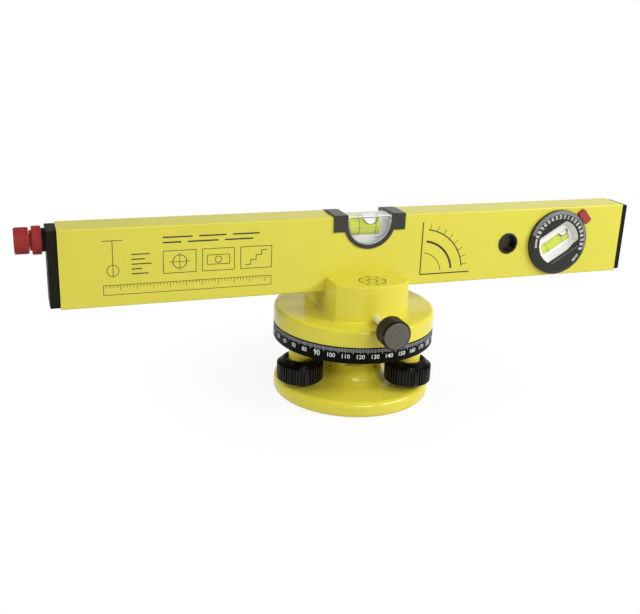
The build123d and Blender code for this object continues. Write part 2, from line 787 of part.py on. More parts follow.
with BuildPart() as vial_block:
    with BuildSketch(Plane.XZ.offset(-vial_block_front)):
        draw_window(window_radius - seat_gap, beam_top)
    extrude(amount=-vial_block_thickness)
    chamfer(vial_block.edges().group_by(Axis.Y)[0], vial_block_bevel)
    add(vial_bar(vial_bore_radius, vial_x - window_radius, plug_x, vial_end_wall), mode=Mode.SUBTRACT)
    with BuildSketch(vial_plane(plug_x)):
        Circle(vial_bore_radius)
    extrude(amount=window_radius, mode=Mode.SUBTRACT)
vial_block.part.label = "vial_block"
export_step(vial_block.part, "parts/vial_block.step")

with BuildPart() as vial_liquid:
    add(vial_bar(vial_bore_radius - seat_gap, vial_x - window_radius, plug_x, vial_end_wall + seat_gap))
    with BuildSketch(Plane.XZ.offset(-vial_y)):
        with Locations((vial_x + bubble_shift, vial_z + vial_bore_radius + bubble_rise)):
            Circle(bubble_radius)
    extrude(amount=vial_bore_radius, both=True, mode=Mode.SUBTRACT)
vial_liquid.part.label = "vial_liquid"
export_step(vial_liquid.part, "parts/vial_liquid.step")

with BuildPart() as vial_plug:
    add(vial_bar(vial_bore_radius - seat_gap, plug_x + seat_gap, vial_x + window_radius, seat_gap))
vial_plug.part.label = "vial_plug"
export_step(vial_plug.part, "parts/vial_plug.step")

with BuildPart() as hole_plug:
    with BuildSketch(hole_plug_plane):
        Circle(hole_plug_radius)
    extrude(amount=hole_plug_stand)
    fillet(hole_plug.edges().group_by(Axis.Y)[0], hole_plug_round)
    with BuildSketch(hole_plug_plane):
        Circle(hole_plug_stem_radius)
    extrude(amount=-hole_plug_stem)
    with BuildSketch(hole_plug_plane.offset(hole_plug_floor - hole_plug_stem)):
        Circle(hole_plug_bore_radius)
    extrude(amount=hole_plug_stem + hole_plug_stand, mode=Mode.SUBTRACT)
hole_plug.part.label = "hole_plug"
export_step(hole_plug.part, "parts/hole_plug.step")

with BuildPart() as index_tab:
    index_turn = radians(index_angle)
    index_reach = dial_radius + index_gap + index_length / 2
    index_plane = Plane((dial_x + index_reach * cos(index_turn), -beam_front,
                         beam_middle + index_reach * sin(index_turn)),
                        x_dir=(cos(index_turn), 0, sin(index_turn)), z_dir=(0, -1, 0))
    with BuildSketch(index_plane):
        RectangleRounded(index_length, index_width, index_round)
    extrude(amount=index_stand)
    with BuildSketch(index_plane):
        Circle(index_pin_radius)
    extrude(amount=-beam_wall)
index_tab.part.label = "index_tab"
export_step(index_tab.part, "parts/index_tab.step")

with BuildPart() as battery_tube:
    with BuildSketch(tube_plane(tube_start)):
        Circle(tube_radius)
        Circle(tube_bore_radius, mode=Mode.SUBTRACT)
    extrude(amount=tube_end - tube_start)
battery_tube.part.label = "battery_tube"
export_step(battery_tube.part, "parts/battery_tube.step")

for place, x in (("front", first_cell), ("rear", first_cell + cell_pitch)):
    with BuildPart() as cell:
        with BuildSketch(tube_plane(x)):
            Circle(cell_radius)
        extrude(amount=cell_length)
        fillet(cell.edges().filter_by(GeomType.CIRCLE), cell_round)
        with BuildSketch(tube_plane(x + cell_length)):
            Circle(cell_tip_radius)
        extrude(amount=cell_tip_length)
    cell.part.label = f"battery_cell_{place}"
    export_step(cell.part, f"parts/battery_cell_{place}.step")

with BuildPart() as rear_contact:
    with BuildSketch(tube_plane(tube_end)):
        Circle(tube_radius)
        Rectangle(contact_tab_width, contact_tab_drop, align=(Align.CENTER, Align.MAX))
    extrude(amount=contact_thickness)
rear_contact.part.label = "rear_contact"
export_step(rear_contact.part, "parts/rear_contact.step")

with BuildPart() as laser_chassis:
    chassis_width = inner_depth - 2 * seat_gap
    chassis_bottom = beam_floor + seat_gap
    post_height = tube_z - chassis_bottom
    with BuildSketch(Plane((beam_start + chassis_front, 0, chassis_bottom))):
        Rectangle(chassis_length, chassis_width, align=(Align.MIN, Align.CENTER))
    extrude(amount=chassis_floor)
    with BuildSketch(Plane((beam_start + chassis_front, 0, chassis_bottom))):
        Rectangle(chassis_post, chassis_width, align=(Align.MIN, Align.CENTER))
    extrude(amount=post_height)
    with BuildSketch(Plane((beam_start + chassis_front + chassis_length, 0, chassis_bottom))):
        Rectangle(chassis_post / 2, chassis_width, align=(Align.MAX, Align.CENTER))
    extrude(amount=post_height)
    with BuildSketch(tube_plane(beam_start)):
        Circle(tube_radius + seat_gap)
    extrude(amount=tube_end - beam_start, mode=Mode.SUBTRACT)
    with BuildSketch(laser_plane(beam_start)):
        Circle(laser_radius + seat_gap)
    extrude(amount=laser_length + chassis_post, mode=Mode.SUBTRACT)
    slot_start = beam_start + board_start - seat_gap
    with BuildSketch(Plane((slot_start, board_face - seat_gap, board_bottom - seat_gap))):
        Rectangle(chassis_length, board_thickness + 2 * seat_gap, align=(Align.MIN, Align.MIN))
    extrude(amount=board_height + 2 * seat_gap, mode=Mode.SUBTRACT)
laser_chassis.part.label = "laser_chassis"
export_step(laser_chassis.part, "parts/laser_chassis.step")

with BuildPart() as laser_housing:
    with BuildSketch(laser_plane(beam_start)):
        Circle(laser_radius)
        Circle(laser_throat_radius, mode=Mode.SUBTRACT)
    extrude(amount=laser_length)
    with BuildSketch(laser_plane(beam_start)):
        Circle(laser_bore_radius)
    extrude(amount=lens_seat_depth, mode=Mode.SUBTRACT)
    with BuildSketch(laser_plane(laser_end)):
        Circle(laser_bore_radius)
    extrude(amount=-diode_flange, mode=Mode.SUBTRACT)
laser_housing.part.label = "laser_housing"
export_step(laser_housing.part, "parts/laser_housing.step")

with BuildPart() as collimator_lens:
    with BuildSketch(laser_plane(beam_start + lens_seat_depth)):
        Circle(laser_bore_radius - seat_gap)
    extrude(amount=-lens_thickness)
collimator_lens.part.label = "collimator_lens"
export_step(collimator_lens.part, "parts/collimator_lens.step")

with BuildPart() as aperture_window:
    with BuildSketch(laser_plane(beam_start)):
        Circle(aperture_glass_radius)
    extrude(amount=-aperture_glass_thickness)
aperture_window.part.label = "aperture_window"
export_step(aperture_window.part, "parts/aperture_window.step")

with BuildPart() as laser_diode:
    with BuildSketch(laser_plane(laser_end)):
        Circle(laser_bore_radius - seat_gap)
    extrude(amount=-diode_flange)
    with BuildSketch(laser_plane(laser_end - diode_flange)):
        Circle(diode_can_radius)
    extrude(amount=-diode_can_length)
    with BuildSketch(laser_plane(laser_end)):
        with Locations((0, diode_pin_spread), (0, -diode_pin_spread)):
            Circle(diode_pin_radius)
    extrude(amount=diode_pin_length)
laser_diode.part.label = "laser_diode"
export_step(laser_diode.part, "parts/laser_diode.step")

with BuildPart() as circuit_board:
    with BuildSketch(Plane((beam_start + board_start, board_face, board_bottom))):
        Rectangle(board_end - beam_start - board_start, board_thickness, align=(Align.MIN, Align.MIN))
    extrude(amount=board_height)
circuit_board.part.label = "circuit_board"
export_step(circuit_board.part, "parts/circuit_board.step")

# Clamp body

with BuildPart() as clamp_screw:
    clamp_tip = spindle_radius - clamp_groove_depth + moving_gap
    clamp_root = clamp_knob_reach - clamp_knob_length + clamp_socket_depth
    with BuildSketch(Plane((0, -clamp_tip, clamp_z), z_dir=(0, -1, 0))):
        Circle(clamp_radius)
    extrude(amount=clamp_root - clamp_tip)
clamp_screw.part.label = "clamp_screw"
export_step(clamp_screw.part, "parts/clamp_screw.step")

with BuildPart() as clamp_knob:
    knob_face_plane = Plane((0, -clamp_knob_reach, clamp_z), z_dir=(0, -1, 0))
    with BuildSketch(knob_face_plane):
        Circle(clamp_knob_radius)
    extrude(amount=-clamp_knob_length)
    chamfer(clamp_knob.edges().filter_by(GeomType.CIRCLE), clamp_knob_chamfer)
    with BuildSketch(knob_face_plane):
        with PolarLocations(clamp_knob_radius, clamp_grooves):
            Rectangle(clamp_groove_size, clamp_groove_size)
    extrude(amount=-clamp_knob_length, mode=Mode.SUBTRACT)
    with BuildSketch(knob_face_plane):
        Circle(insert_radius + seat_gap)
    extrude(amount=-insert_thickness, mode=Mode.SUBTRACT)
    with BuildSketch(knob_face_plane.offset(-clamp_knob_length)):
        Circle(clamp_radius + seat_gap)
    extrude(amount=clamp_socket_depth, mode=Mode.SUBTRACT)
clamp_knob.part.label = "clamp_knob"
export_step(clamp_knob.part, "parts/clamp_knob.step")

with BuildPart() as knob_insert:
    with BuildSketch(knob_face_plane.offset(-insert_thickness)):
        Circle(insert_radius)
    extrude(amount=insert_thickness + insert_stand)
    chamfer(knob_insert.edges().group_by(Axis.Y)[0], insert_stand)
knob_insert.part.label = "knob_insert"
export_step(knob_insert.part, "parts/knob_insert.step")

# Battery cap body and switch body

with BuildPart() as battery_cap:
    with BuildSketch(tube_plane(cap_end)):
        Circle(cap_radius)
    extrude(amount=cap_length)
    chamfer(battery_cap.edges().filter_by(GeomType.CIRCLE), cap_chamfer)
    with BuildSketch(tube_plane(cap_end)):
        with PolarLocations(cap_radius, cap_grooves):
            Rectangle(cap_groove_size, cap_groove_size)
    extrude(amount=cap_length, mode=Mode.SUBTRACT)
    with BuildSketch(tube_plane(cap_mouth)):
        Circle(neck_radius + running_gap)
    extrude(amount=cap_end_wall - cap_length, mode=Mode.SUBTRACT)
    with BuildSketch(tube_plane(cap_end)):
        Circle(stem_neck_radius + seat_gap)
    extrude(amount=cap_end_wall, mode=Mode.SUBTRACT)
battery_cap.part.label = "battery_cap"
export_step(battery_cap.part, "parts/battery_cap.step")

with BuildPart() as switch_stem:
    with BuildSketch(tube_plane(cap_end - stem_neck_length)):
        Circle(stem_neck_radius)
    extrude(amount=stem_neck_length + cap_end_wall)
    with BuildSketch(tube_plane(stem_plug_end)):
        Circle(tube_bore_radius - running_gap)
    extrude(amount=-stem_plug_length)
    with BuildSketch(tube_plane(cap_end - stem_neck_length)):
        Circle(stem_shaft_radius)
    extrude(amount=-stem_shaft_length)
switch_stem.part.label = "switch_stem"
export_step(switch_stem.part, "parts/switch_stem.step")

with BuildPart() as contact_spring:
    with BuildSketch(tube_plane(stem_plug_end)):
        Circle(contact_spring_radius)
        Circle(contact_spring_radius - contact_spring_wall, mode=Mode.SUBTRACT)
    extrude(amount=contact_spring_length)
contact_spring.part.label = "contact_spring"
export_step(contact_spring.part, "parts/contact_spring.step")

with BuildPart() as switch_knob:
    with BuildSketch(tube_plane(knob_mouth)):
        Circle(knob_radius)
    extrude(amount=-knob_length)
    chamfer(switch_knob.edges().filter_by(GeomType.CIRCLE), knob_chamfer)
    with BuildSketch(tube_plane(knob_mouth)):
        with PolarLocations(knob_radius, knob_grooves):
            Rectangle(knob_groove_size, knob_groove_size)
    extrude(amount=-knob_length, mode=Mode.SUBTRACT)
    with BuildSketch(tube_plane(knob_mouth)):
        Circle(stem_shaft_radius + running_gap)
    extrude(amount=-stem_shaft_length, mode=Mode.SUBTRACT)
switch_knob.part.label = "switch_knob"
export_step(switch_knob.part, "parts/switch_knob.step")

# Angle dial body

flange_back = -beam_front - moving_gap
dial_face = -beam_front - dial_stand
drum_back = beam_front + moving_gap
block_front = dial_face + dial_block_recess
block_back = block_front + dial_block_thickness
reflector_back = block_back + dial_reflector_thickness
vial_depth = (block_front + block_back) / 2

with BuildPart() as dial_bezel:
    with BuildSketch(dial_plane(dial_face)):
        Circle(dial_radius)
    extrude(amount=dial_face - flange_back)
    chamfer(dial_bezel.edges().group_by(Axis.Y)[0], dial_bevel_drop, dial_bevel_width)
    with BuildSketch(dial_plane(flange_back)):
        Circle(drum_radius)
    extrude(amount=flange_back - drum_back)
    with BuildSketch(dial_plane(dial_face)):
        draw_dial_window()
    extrude(amount=dial_face - reflector_back, mode=Mode.SUBTRACT)
    with BuildSketch(dial_plane(drum_back)):
        Circle(drum_radius - dial_cover_wall)
    extrude(amount=drum_back - reflector_back - dial_web, mode=Mode.SUBTRACT)
    key_base = dial_window_chord_offset - dial_window_half
    with BuildSketch(dial_plane(dial_face)):
        Polygon((dial_key_foot, key_base - dial_key_rise), (dial_key_foot, key_base),
                (dial_key_peak, key_base + dial_key_rise), (dial_key_end, key_base + dial_key_rise),
                (dial_key_end, key_base - dial_key_rise), align=None)
    extrude(amount=-dial_block_recess)
dial_bezel.part.label = "dial_bezel"
export_step(dial_bezel.part, "parts/dial_bezel.step")

with BuildPart() as dial_reflector:
    with BuildSketch(dial_plane(block_front)):
        draw_dial_window(seat_gap)
    extrude(amount=block_front - reflector_back)
    with BuildSketch(dial_plane(block_front)):
        draw_dial_window(dial_reflector_wall)
    extrude(amount=block_front - block_back, mode=Mode.SUBTRACT)
dial_reflector.part.label = "dial_reflector"
export_step(dial_reflector.part, "parts/dial_reflector.step")

with BuildPart() as angle_vial_block:
    with BuildSketch(dial_plane(block_front)):
        draw_dial_window(dial_reflector_wall + seat_gap)
    extrude(amount=block_front - block_back)
    with BuildSketch(angle_vial_plane(-angle_bore_reach, vial_depth)):
        Circle(angle_bore_radius)
    extrude(amount=angle_bore_reach + dial_window_radius, mode=Mode.SUBTRACT)
angle_vial_block.part.label = "angle_vial_block"
export_step(angle_vial_block.part, "parts/angle_vial_block.step")

with BuildPart() as angle_vial_liquid:
    angle_liquid_radius = angle_bore_radius - seat_gap
    angle_liquid_end = angle_bore_reach - angle_plug_length
    with BuildSketch(angle_vial_plane(seat_gap - angle_bore_reach, vial_depth)):
        Circle(angle_liquid_radius)
    extrude(amount=angle_bore_reach + angle_liquid_end - 2 * seat_gap)
    with BuildSketch(angle_vial_plane(angle_liquid_end, vial_depth)):
        with Locations((0, angle_liquid_radius - angle_bubble_sink)):
            Circle(angle_bubble_radius)
    extrude(amount=-angle_bubble_length, mode=Mode.SUBTRACT)
angle_vial_liquid.part.label = "angle_vial_liquid"
export_step(angle_vial_liquid.part, "parts/angle_vial_liquid.step")

with BuildPart() as angle_vial_plug:
    with BuildSketch(angle_vial_plane(angle_bore_reach - angle_plug_length, vial_depth)):
        Circle(angle_bore_radius - seat_gap)
    extrude(amount=angle_plug_length)
angle_vial_plug.part.label = "angle_vial_plug"
export_step(angle_vial_plug.part, "parts/angle_vial_plug.step")

with BuildPart() as dial_cover:
    with BuildSketch(dial_plane(drum_back)):
        Circle(dial_radius)
    extrude(amount=-dial_cover_thickness)
    chamfer(dial_cover.edges().group_by(Axis.Y)[-1], dial_bevel_drop)
    with BuildSketch(dial_plane(drum_back)):
        Circle(drum_radius - dial_cover_wall - seat_gap)
        Circle(drum_radius - 2 * dial_cover_wall, mode=Mode.SUBTRACT)
    extrude(amount=dial_cover_spigot)
dial_cover.part.label = "dial_cover"
export_step(dial_cover.part, "parts/dial_cover.step")
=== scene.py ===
import json
import math

import bpy
from mathutils import Euler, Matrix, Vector


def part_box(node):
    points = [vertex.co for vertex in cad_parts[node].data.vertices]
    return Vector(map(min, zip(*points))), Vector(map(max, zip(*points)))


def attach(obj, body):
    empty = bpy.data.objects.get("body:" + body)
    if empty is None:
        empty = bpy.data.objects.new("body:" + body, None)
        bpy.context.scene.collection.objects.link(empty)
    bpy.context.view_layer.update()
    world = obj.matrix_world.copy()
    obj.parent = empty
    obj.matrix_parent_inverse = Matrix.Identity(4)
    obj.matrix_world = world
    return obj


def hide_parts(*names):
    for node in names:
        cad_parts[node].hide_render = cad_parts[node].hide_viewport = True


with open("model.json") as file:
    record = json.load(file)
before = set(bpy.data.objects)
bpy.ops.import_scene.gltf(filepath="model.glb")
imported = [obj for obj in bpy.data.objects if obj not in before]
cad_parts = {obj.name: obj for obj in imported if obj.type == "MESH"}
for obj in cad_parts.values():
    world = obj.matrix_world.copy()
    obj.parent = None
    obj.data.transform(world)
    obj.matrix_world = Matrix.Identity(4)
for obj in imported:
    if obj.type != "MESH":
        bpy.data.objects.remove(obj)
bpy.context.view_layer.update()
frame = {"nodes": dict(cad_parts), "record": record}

# Lengths are in metres, and those of prints and outlines in millimetres where their comments say so
MM = 0.001
PRINT_LIFT = 0.04 * MM
scene = bpy.context.scene
nodes = frame["nodes"]


# Shader node helpers

MIX_FACTOR = 0
MIX_A = 6
MIX_B = 7
MIX_RESULT = 2


def linear(*srgb):
    """An sRGB colour in 0-255 as linear values."""
    return tuple(((c / 255 + 0.055) / 1.055) ** 2.4 if c > 10.3 else c / 255 / 12.92 for c in srgb)


def set_values(node, values):
    """Set inputs and settings by name; in an input's name an underscore stands for a space."""
    for name, value in values.items():
        label = name.replace("_", " ")
        if label in node.inputs:
            node.inputs[label].default_value = value
        else:
            setattr(node, name, value)


def add_node(tree, kind, **values):
    node = tree.nodes.new(kind)
    set_values(node, values)
    return node


def add_mix(tree, a=None, b=None):
    """A mix of two colours; one that is left out is linked later."""
    mix = add_node(tree, "ShaderNodeMix", data_type="RGBA")
    for socket, colour in ((MIX_A, a), (MIX_B, b)):
        if colour:
            mix.inputs[socket].default_value = (*colour, 1)
    return mix


def connect(tree, *pairs):
    for output, target in pairs:
        tree.links.new(output, target)


# Material recipes

GRAIN_DEPTH = 0.2 * MM
RING_DEPTH = 0.3 * MM
WAVE_RATE = 20.0


def surface(name, colour, rough, spread=0.06, rough_spread=0.05, grain=300.0, bump=0.0,
            cloud_scale=45.0, **extra):
    """A Principled surface whose colour and roughness wander a little, with an optional fine grain."""
    mat = bpy.data.materials.new(name)
    mat.use_nodes = True
    tree = mat.node_tree
    shader = tree.nodes["Principled BSDF"]
    place = add_node(tree, "ShaderNodeTexCoord")
    cloud = add_node(tree, "ShaderNodeTexNoise", Scale=cloud_scale, Detail=3.0)
    fine = add_node(tree, "ShaderNodeTexNoise", Scale=grain, Detail=4.0)
    low = tuple(c * (1 - spread) for c in colour)
    high = tuple(min(1.0, c * (1 + spread)) for c in colour)
    tint = add_mix(tree, low, high)
    wander = add_node(tree, "ShaderNodeMapRange", To_Min=max(0.0, rough - rough_spread),
                      To_Max=min(1.0, rough + rough_spread))
    connect(tree,
            (place.outputs["Object"], cloud.inputs["Vector"]),
            (place.outputs["Object"], fine.inputs["Vector"]),
            (cloud.outputs["Fac"], tint.inputs[MIX_FACTOR]),
            (tint.outputs[MIX_RESULT], shader.inputs["Base Color"]),
            (fine.outputs["Fac"], wander.inputs["Value"]),
            (wander.outputs["Result"], shader.inputs["Roughness"]))
    if bump:
        relief = add_node(tree, "ShaderNodeBump", Strength=bump, Distance=GRAIN_DEPTH)
        connect(tree,
                (fine.outputs["Fac"], relief.inputs["Height"]),
                (relief.outputs["Normal"], shader.inputs["Normal"]))
    set_values(shader, extra)
    return mat


def let_light_in(mat):
    """Let lamps and bounced light pass a clear piece, so that what is inside it is lit."""
    tree = mat.node_tree
    path = add_node(tree, "ShaderNodeLightPath")
    passing = add_node(tree, "ShaderNodeMath", operation="MAXIMUM")
    empty = add_node(tree, "ShaderNodeBsdfTransparent")
    mix = add_node(tree, "ShaderNodeMixShader")
    connect(tree,
            (path.outputs["Is Shadow Ray"], passing.inputs[0]),
            (path.outputs["Is Diffuse Ray"], passing.inputs[1]),
            (passing.outputs[0], mix.inputs[0]),
            (tree.nodes["Principled BSDF"].outputs[0], mix.inputs[1]),
            (empty.outputs[0], mix.inputs[2]),
            (mix.outputs[0], tree.nodes["Material Output"].inputs["Surface"]))
    return mat


def clear(name, colour, ior):
    """A polished clear material."""
    return let_light_in(surface(name, colour, rough=0.02, spread=0.01, rough_spread=0.01,
                                Transmission_Weight=1.0, IOR=ior))


def black_plastic(name, colour, rough, bump=0.0, specular=0.5):
    """A black moulding with a fine grain."""
    return surface(name, colour, rough, grain=1500.0, bump=bump, Specular_IOR_Level=specular)


def moulded_rings(mat, centre, period):
    """Add shallow rings around an axis along Y to a material that has a grain.

    A Wave texture of scale 1 runs through WAVE_RATE radians in a metre."""
    tree = mat.node_tree
    place = add_node(tree, "ShaderNodeTexCoord")
    shift = add_node(tree, "ShaderNodeMapping", Location=(-centre.x, 0.0, -centre.z))
    wave = add_node(tree, "ShaderNodeTexWave", wave_type="RINGS", rings_direction="Y",
                    Scale=2 * math.pi / (WAVE_RATE * period))
    relief = add_node(tree, "ShaderNodeBump", Strength=0.5, Distance=RING_DEPTH)
    normal = tree.nodes["Principled BSDF"].inputs["Normal"]
    connect(tree,
            (place.outputs["Object"], shift.inputs["Vector"]),
            (shift.outputs["Vector"], wave.inputs["Vector"]),
            (wave.outputs["Fac"], relief.inputs["Height"]),
            (normal.links[0].from_socket, relief.inputs["Normal"]),
            (relief.outputs["Normal"], normal))


def painted_rib_highlights(mat, colour, start, stop):
    """Paint highlights on the crests of moulded ribs: a lighter colour between two values of the
    surface's pointiness.
    """
    tree = mat.node_tree
    shape = add_node(tree, "ShaderNodeNewGeometry")
    crest = add_node(tree, "ShaderNodeMapRange", From_Min=start, From_Max=stop)
    blend = add_mix(tree, b=colour)
    base = tree.nodes["Principled BSDF"].inputs["Base Color"]
    connect(tree,
            (shape.outputs["Pointiness"], crest.inputs["Value"]),
            (crest.outputs["Result"], blend.inputs[MIX_FACTOR]),
            (base.links[0].from_socket, blend.inputs[MIX_A]),
            (blend.outputs[MIX_RESULT], base))


# Materials

INSERT_RING_PERIOD = 2.4 * MM

beam_paint = surface("beam_paint", linear(224, 216, 74), rough=0.34, spread=0.03, grain=900.0, bump=0.03)
moulding = surface("yellow_moulding", linear(228, 217, 70), rough=0.20, spread=0.03, rough_spread=0.03,
                   Specular_IOR_Level=0.40)

black = black_plastic("black_plastic", linear(24, 23, 19), rough=0.40, bump=0.08, specular=0.10)
frame_black = black_plastic("frame_black", linear(41, 40, 33), rough=0.34, bump=0.08, specular=0.55)
bezel_black = black_plastic("bezel_black", linear(33, 33, 27), rough=0.42, bump=0.08, specular=0.40)
cap_black = black_plastic("cap_black", linear(35, 34, 28), rough=0.45, bump=0.08, specular=0.045)
wheel_black = black_plastic("wheel_black", linear(5, 5, 4), rough=0.30, specular=0.12)
ring_black = black_plastic("ring_black", linear(9, 9, 6), rough=0.40, bump=0.05, specular=0.05)
plug_black = black_plastic("plug_black", linear(36, 27, 18), rough=0.22, specular=0.4)
knob_black = black_plastic("knob_black", linear(6, 5, 4), rough=0.30, specular=0.10)
# Painted highlights on the rib crests of the levelling wheels and the clamp knob
painted_rib_highlights(wheel_black, linear(56, 56, 54), start=0.565, stop=0.615)
painted_rib_highlights(knob_black, linear(78, 68, 54), start=0.56, stop=0.61)

grey_insert = surface("grey_insert", linear(95, 93, 82), rough=0.40, grain=1800.0, bump=0.05,
                      Specular_IOR_Level=0.3)
insert_low, insert_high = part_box("knob_insert")
moulded_rings(grey_insert, (insert_low + insert_high) / 2, INSERT_RING_PERIOD)

red = surface("red_plastic", linear(163, 57, 52), rough=0.50, grain=900.0, bump=0.05,
              Specular_IOR_Level=0.14)
red_tab = surface("red_tab", linear(158, 66, 58), rough=0.42, grain=900.0, bump=0.05,
                  Specular_IOR_Level=0.3)
white = surface("white_plastic", linear(238, 238, 234), rough=0.45, spread=0.02)

print_white = surface("print_white", linear(232, 232, 230), rough=0.5, spread=0.02)
print_grey = surface("print_grey", linear(160, 161, 165), rough=0.5, spread=0.02)
print_black = surface("print_black", linear(38, 36, 20), rough=0.5, spread=0.05)

shaft_steel = surface("shaft_steel", linear(236, 234, 228), rough=0.20, grain=1200.0, Metallic=0.45)
steel = surface("turned_steel", linear(196, 194, 190), rough=0.24, grain=1200.0, Metallic=1.0)
brass = surface("brass", linear(190, 158, 86), rough=0.28, Metallic=1.0)
aluminium = surface("aluminium", linear(200, 200, 202), rough=0.32, Metallic=1.0)
jacket = surface("cell_jacket", linear(120, 124, 128), rough=0.3)
board = surface("board_green", linear(44, 104, 66), rough=0.45)

acrylic = clear("clear_acrylic", (0.97, 0.99, 0.96), ior=1.45)
plug_acrylic = clear("plug_acrylic", (0.97, 0.99, 0.96), ior=1.12)
glass = clear("optical_glass", (0.94, 0.96, 0.97), ior=1.5)
frosted = let_light_in(surface("frosted_acrylic", linear(250, 252, 246), rough=0.5, cloud_scale=400.0,
                               Transmission_Weight=0.1, IOR=1.45))
fluid = let_light_in(surface("vial_fluid", linear(214, 229, 66), rough=0.10, spread=0.12,
                             cloud_scale=260.0, Transmission_Weight=0.35, IOR=1.03))
vial_mark = surface("vial_mark", linear(60, 66, 20), rough=0.4)
# Grey for the painted reflections drawn in the top vial's clear block
painted_reflection_grey = surface("painted_reflection_grey", linear(118, 122, 100), rough=0.3)
bubble_air = surface("bubble_air", linear(246, 248, 240), rough=0.12, spread=0.01)

SLOT_FINISH = {
    "yellow_moulding": moulding, "yellow_paint": beam_paint, "black_plastic": black,
    "grey_insert": grey_insert, "red_plastic": red, "white_plastic": white,
    "clear_acrylic": acrylic, "vial_fluid": fluid, "optical_glass": glass, "steel": steel,
    "spring_steel": steel, "brass": brass, "aluminium": aluminium, "cell_jacket": jacket,
    "board_green": board,
}
NODE_FINISH = {
    "scale_ring": ring_black, "hole_plug": plug_black, "vial_frame": frame_black,
    "dial_bezel": bezel_black, "left_end_cap": cap_black, "right_end_cap": cap_black,
    "index_tab": red_tab, "clamp_screw": shaft_steel, "clamp_knob": knob_black,
    "levelling_wheel_left": wheel_black, "levelling_wheel_right": wheel_black,
    "levelling_wheel_back": wheel_black, "vial_plug": plug_acrylic, "angle_vial_plug": plug_acrylic,
}
for row in frame["record"]["subparts"]:
    finish = NODE_FINISH.get(row["node"], SLOT_FINISH[row["material_slot"]])
    materials = nodes[row["node"]].data.materials
    materials.clear()
    materials.append(finish)


# Mesh helpers

SHARP_EDGE = math.radians(35.0)
NUMERAL_HEIGHT = 0.7
NUMERAL_STEPS = 3


def piece(name, verts, faces, mat, body, smooth=False):
    """A mesh in the row frame that rides on a body."""
    mesh = bpy.data.meshes.new(name)
    mesh.from_pydata([tuple(v) for v in verts], [], faces)
    mesh.validate()
    mesh.materials.append(mat)
    if smooth:
        mesh.shade_smooth()
        mesh.set_sharp_from_angle(angle=SHARP_EDGE)
    obj = bpy.data.objects.new(name, mesh)
    scene.collection.objects.link(obj)
    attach(obj, body)
    return obj


def polar(radius, degrees, centre=(0.0, 0.0)):
    """A point on a circle, counted from the right toward the top."""
    angle = math.radians(degrees)
    return (centre[0] + radius * math.cos(angle), centre[1] + radius * math.sin(angle))


class Sheet:
    """Flat marks drawn in millimetres on a surface; place(u, v) gives the point in metres."""

    def __init__(self, place):
        self.place = place
        self.verts = []
        self.faces = []

    def polygon(self, points):
        start = len(self.verts)
        self.verts += [self.place(u, v) for u, v in points]
        self.faces.append(list(range(start, start + len(points))))

    def line(self, a, b, width):
        (ax, ay), (bx, by) = a, b
        length = math.hypot(bx - ax, by - ay)
        nx = -(by - ay) / length * width / 2
        ny = (bx - ax) / length * width / 2
        self.polygon([(ax + nx, ay + ny), (ax - nx, ay - ny), (bx - nx, by - ny), (bx + nx, by + ny)])

    def path(self, points, width, closed=False):
        following = points[1:] + points[:1] if closed else points[1:]
        for a, b in zip(points, following):
            self.line(a, b, width)

    def arc(self, centre, radius, start, stop, width, steps):
        points = [polar(radius, start + (stop - start) * i / steps, centre) for i in range(steps + 1)]
        self.path(points, width)

    def circle(self, centre, radius, width, steps):
        self.arc(centre, radius, 0, 360, width, steps)

    def box(self, low, high, width):
        (x0, y0), (x1, y1) = low, high
        self.path([(x0, y0), (x1, y0), (x1, y1), (x0, y1)], width, closed=True)

    def number(self, value, centre, height, squeeze, weight, turn=0.0):
        """A numeral of the built-in font, laid on the surface."""
        curve = bpy.data.curves.new("numeral", "FONT")
        curve.body = str(value)
        curve.align_x = "CENTER"
        curve.align_y = "CENTER"
        curve.offset = weight
        curve.resolution_u = NUMERAL_STEPS
        holder = bpy.data.objects.new("numeral", curve)
        scene.collection.objects.link(holder)
        bpy.context.view_layer.update()
        graph = bpy.context.evaluated_depsgraph_get()
        mesh = bpy.data.meshes.new_from_object(holder.evaluated_get(graph))
        scale = height / NUMERAL_HEIGHT
        c = math.cos(math.radians(turn))
        s = math.sin(math.radians(turn))
        start = len(self.verts)
        for vert in mesh.vertices:
            x = vert.co.x * scale * squeeze
            y = vert.co.y * scale
            self.verts.append(self.place(centre[0] + x * c - y * s, centre[1] + x * s + y * c))
        self.faces += [[start + i for i in face.vertices] for face in mesh.polygons]
        bpy.data.objects.remove(holder)
        bpy.data.curves.remove(curve)
        bpy.data.meshes.remove(mesh)

    def finish(self, name, mat, body, slot):
        piece(name, self.verts, self.faces, mat, body)


# Scale ring: degree ticks and numbers, in millimetres under the ring's top

ring_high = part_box("scale_ring")[1]
ring_radius = ring_high.x + PRINT_LIFT
DEGREES_PER_MM = math.degrees(MM / ring_radius)
ZERO_AZIMUTH = -136.0
TICK_TOP = 0.6
TICK_END = 2.9
TICK_END_AT_TENS = 3.2
TICK_END_AT_FIVES = 4.0
TICK_HALF = 0.20
LONG_TICK_HALF = 0.24
RING_NUMBER_MIDDLE = 5.9
RING_NUMBER = {"height": 2.8, "squeeze": 0.98}
RING_MAIN_NUMBER = {"height": 3.9, "squeeze": 0.80}
RING_NUMBER_WEIGHT = 0.012


def on_ring(azimuth, down):
    """azimuth is in degrees from the front toward +X, down is millimetres under the ring's top."""
    a = math.radians(azimuth)
    return (ring_radius * math.sin(a), -ring_radius * math.cos(a), ring_high.z - down * MM)


def ring_number_place(azimuth):
    return lambda u, v: on_ring(azimuth + u * DEGREES_PER_MM, RING_NUMBER_MIDDLE - v)


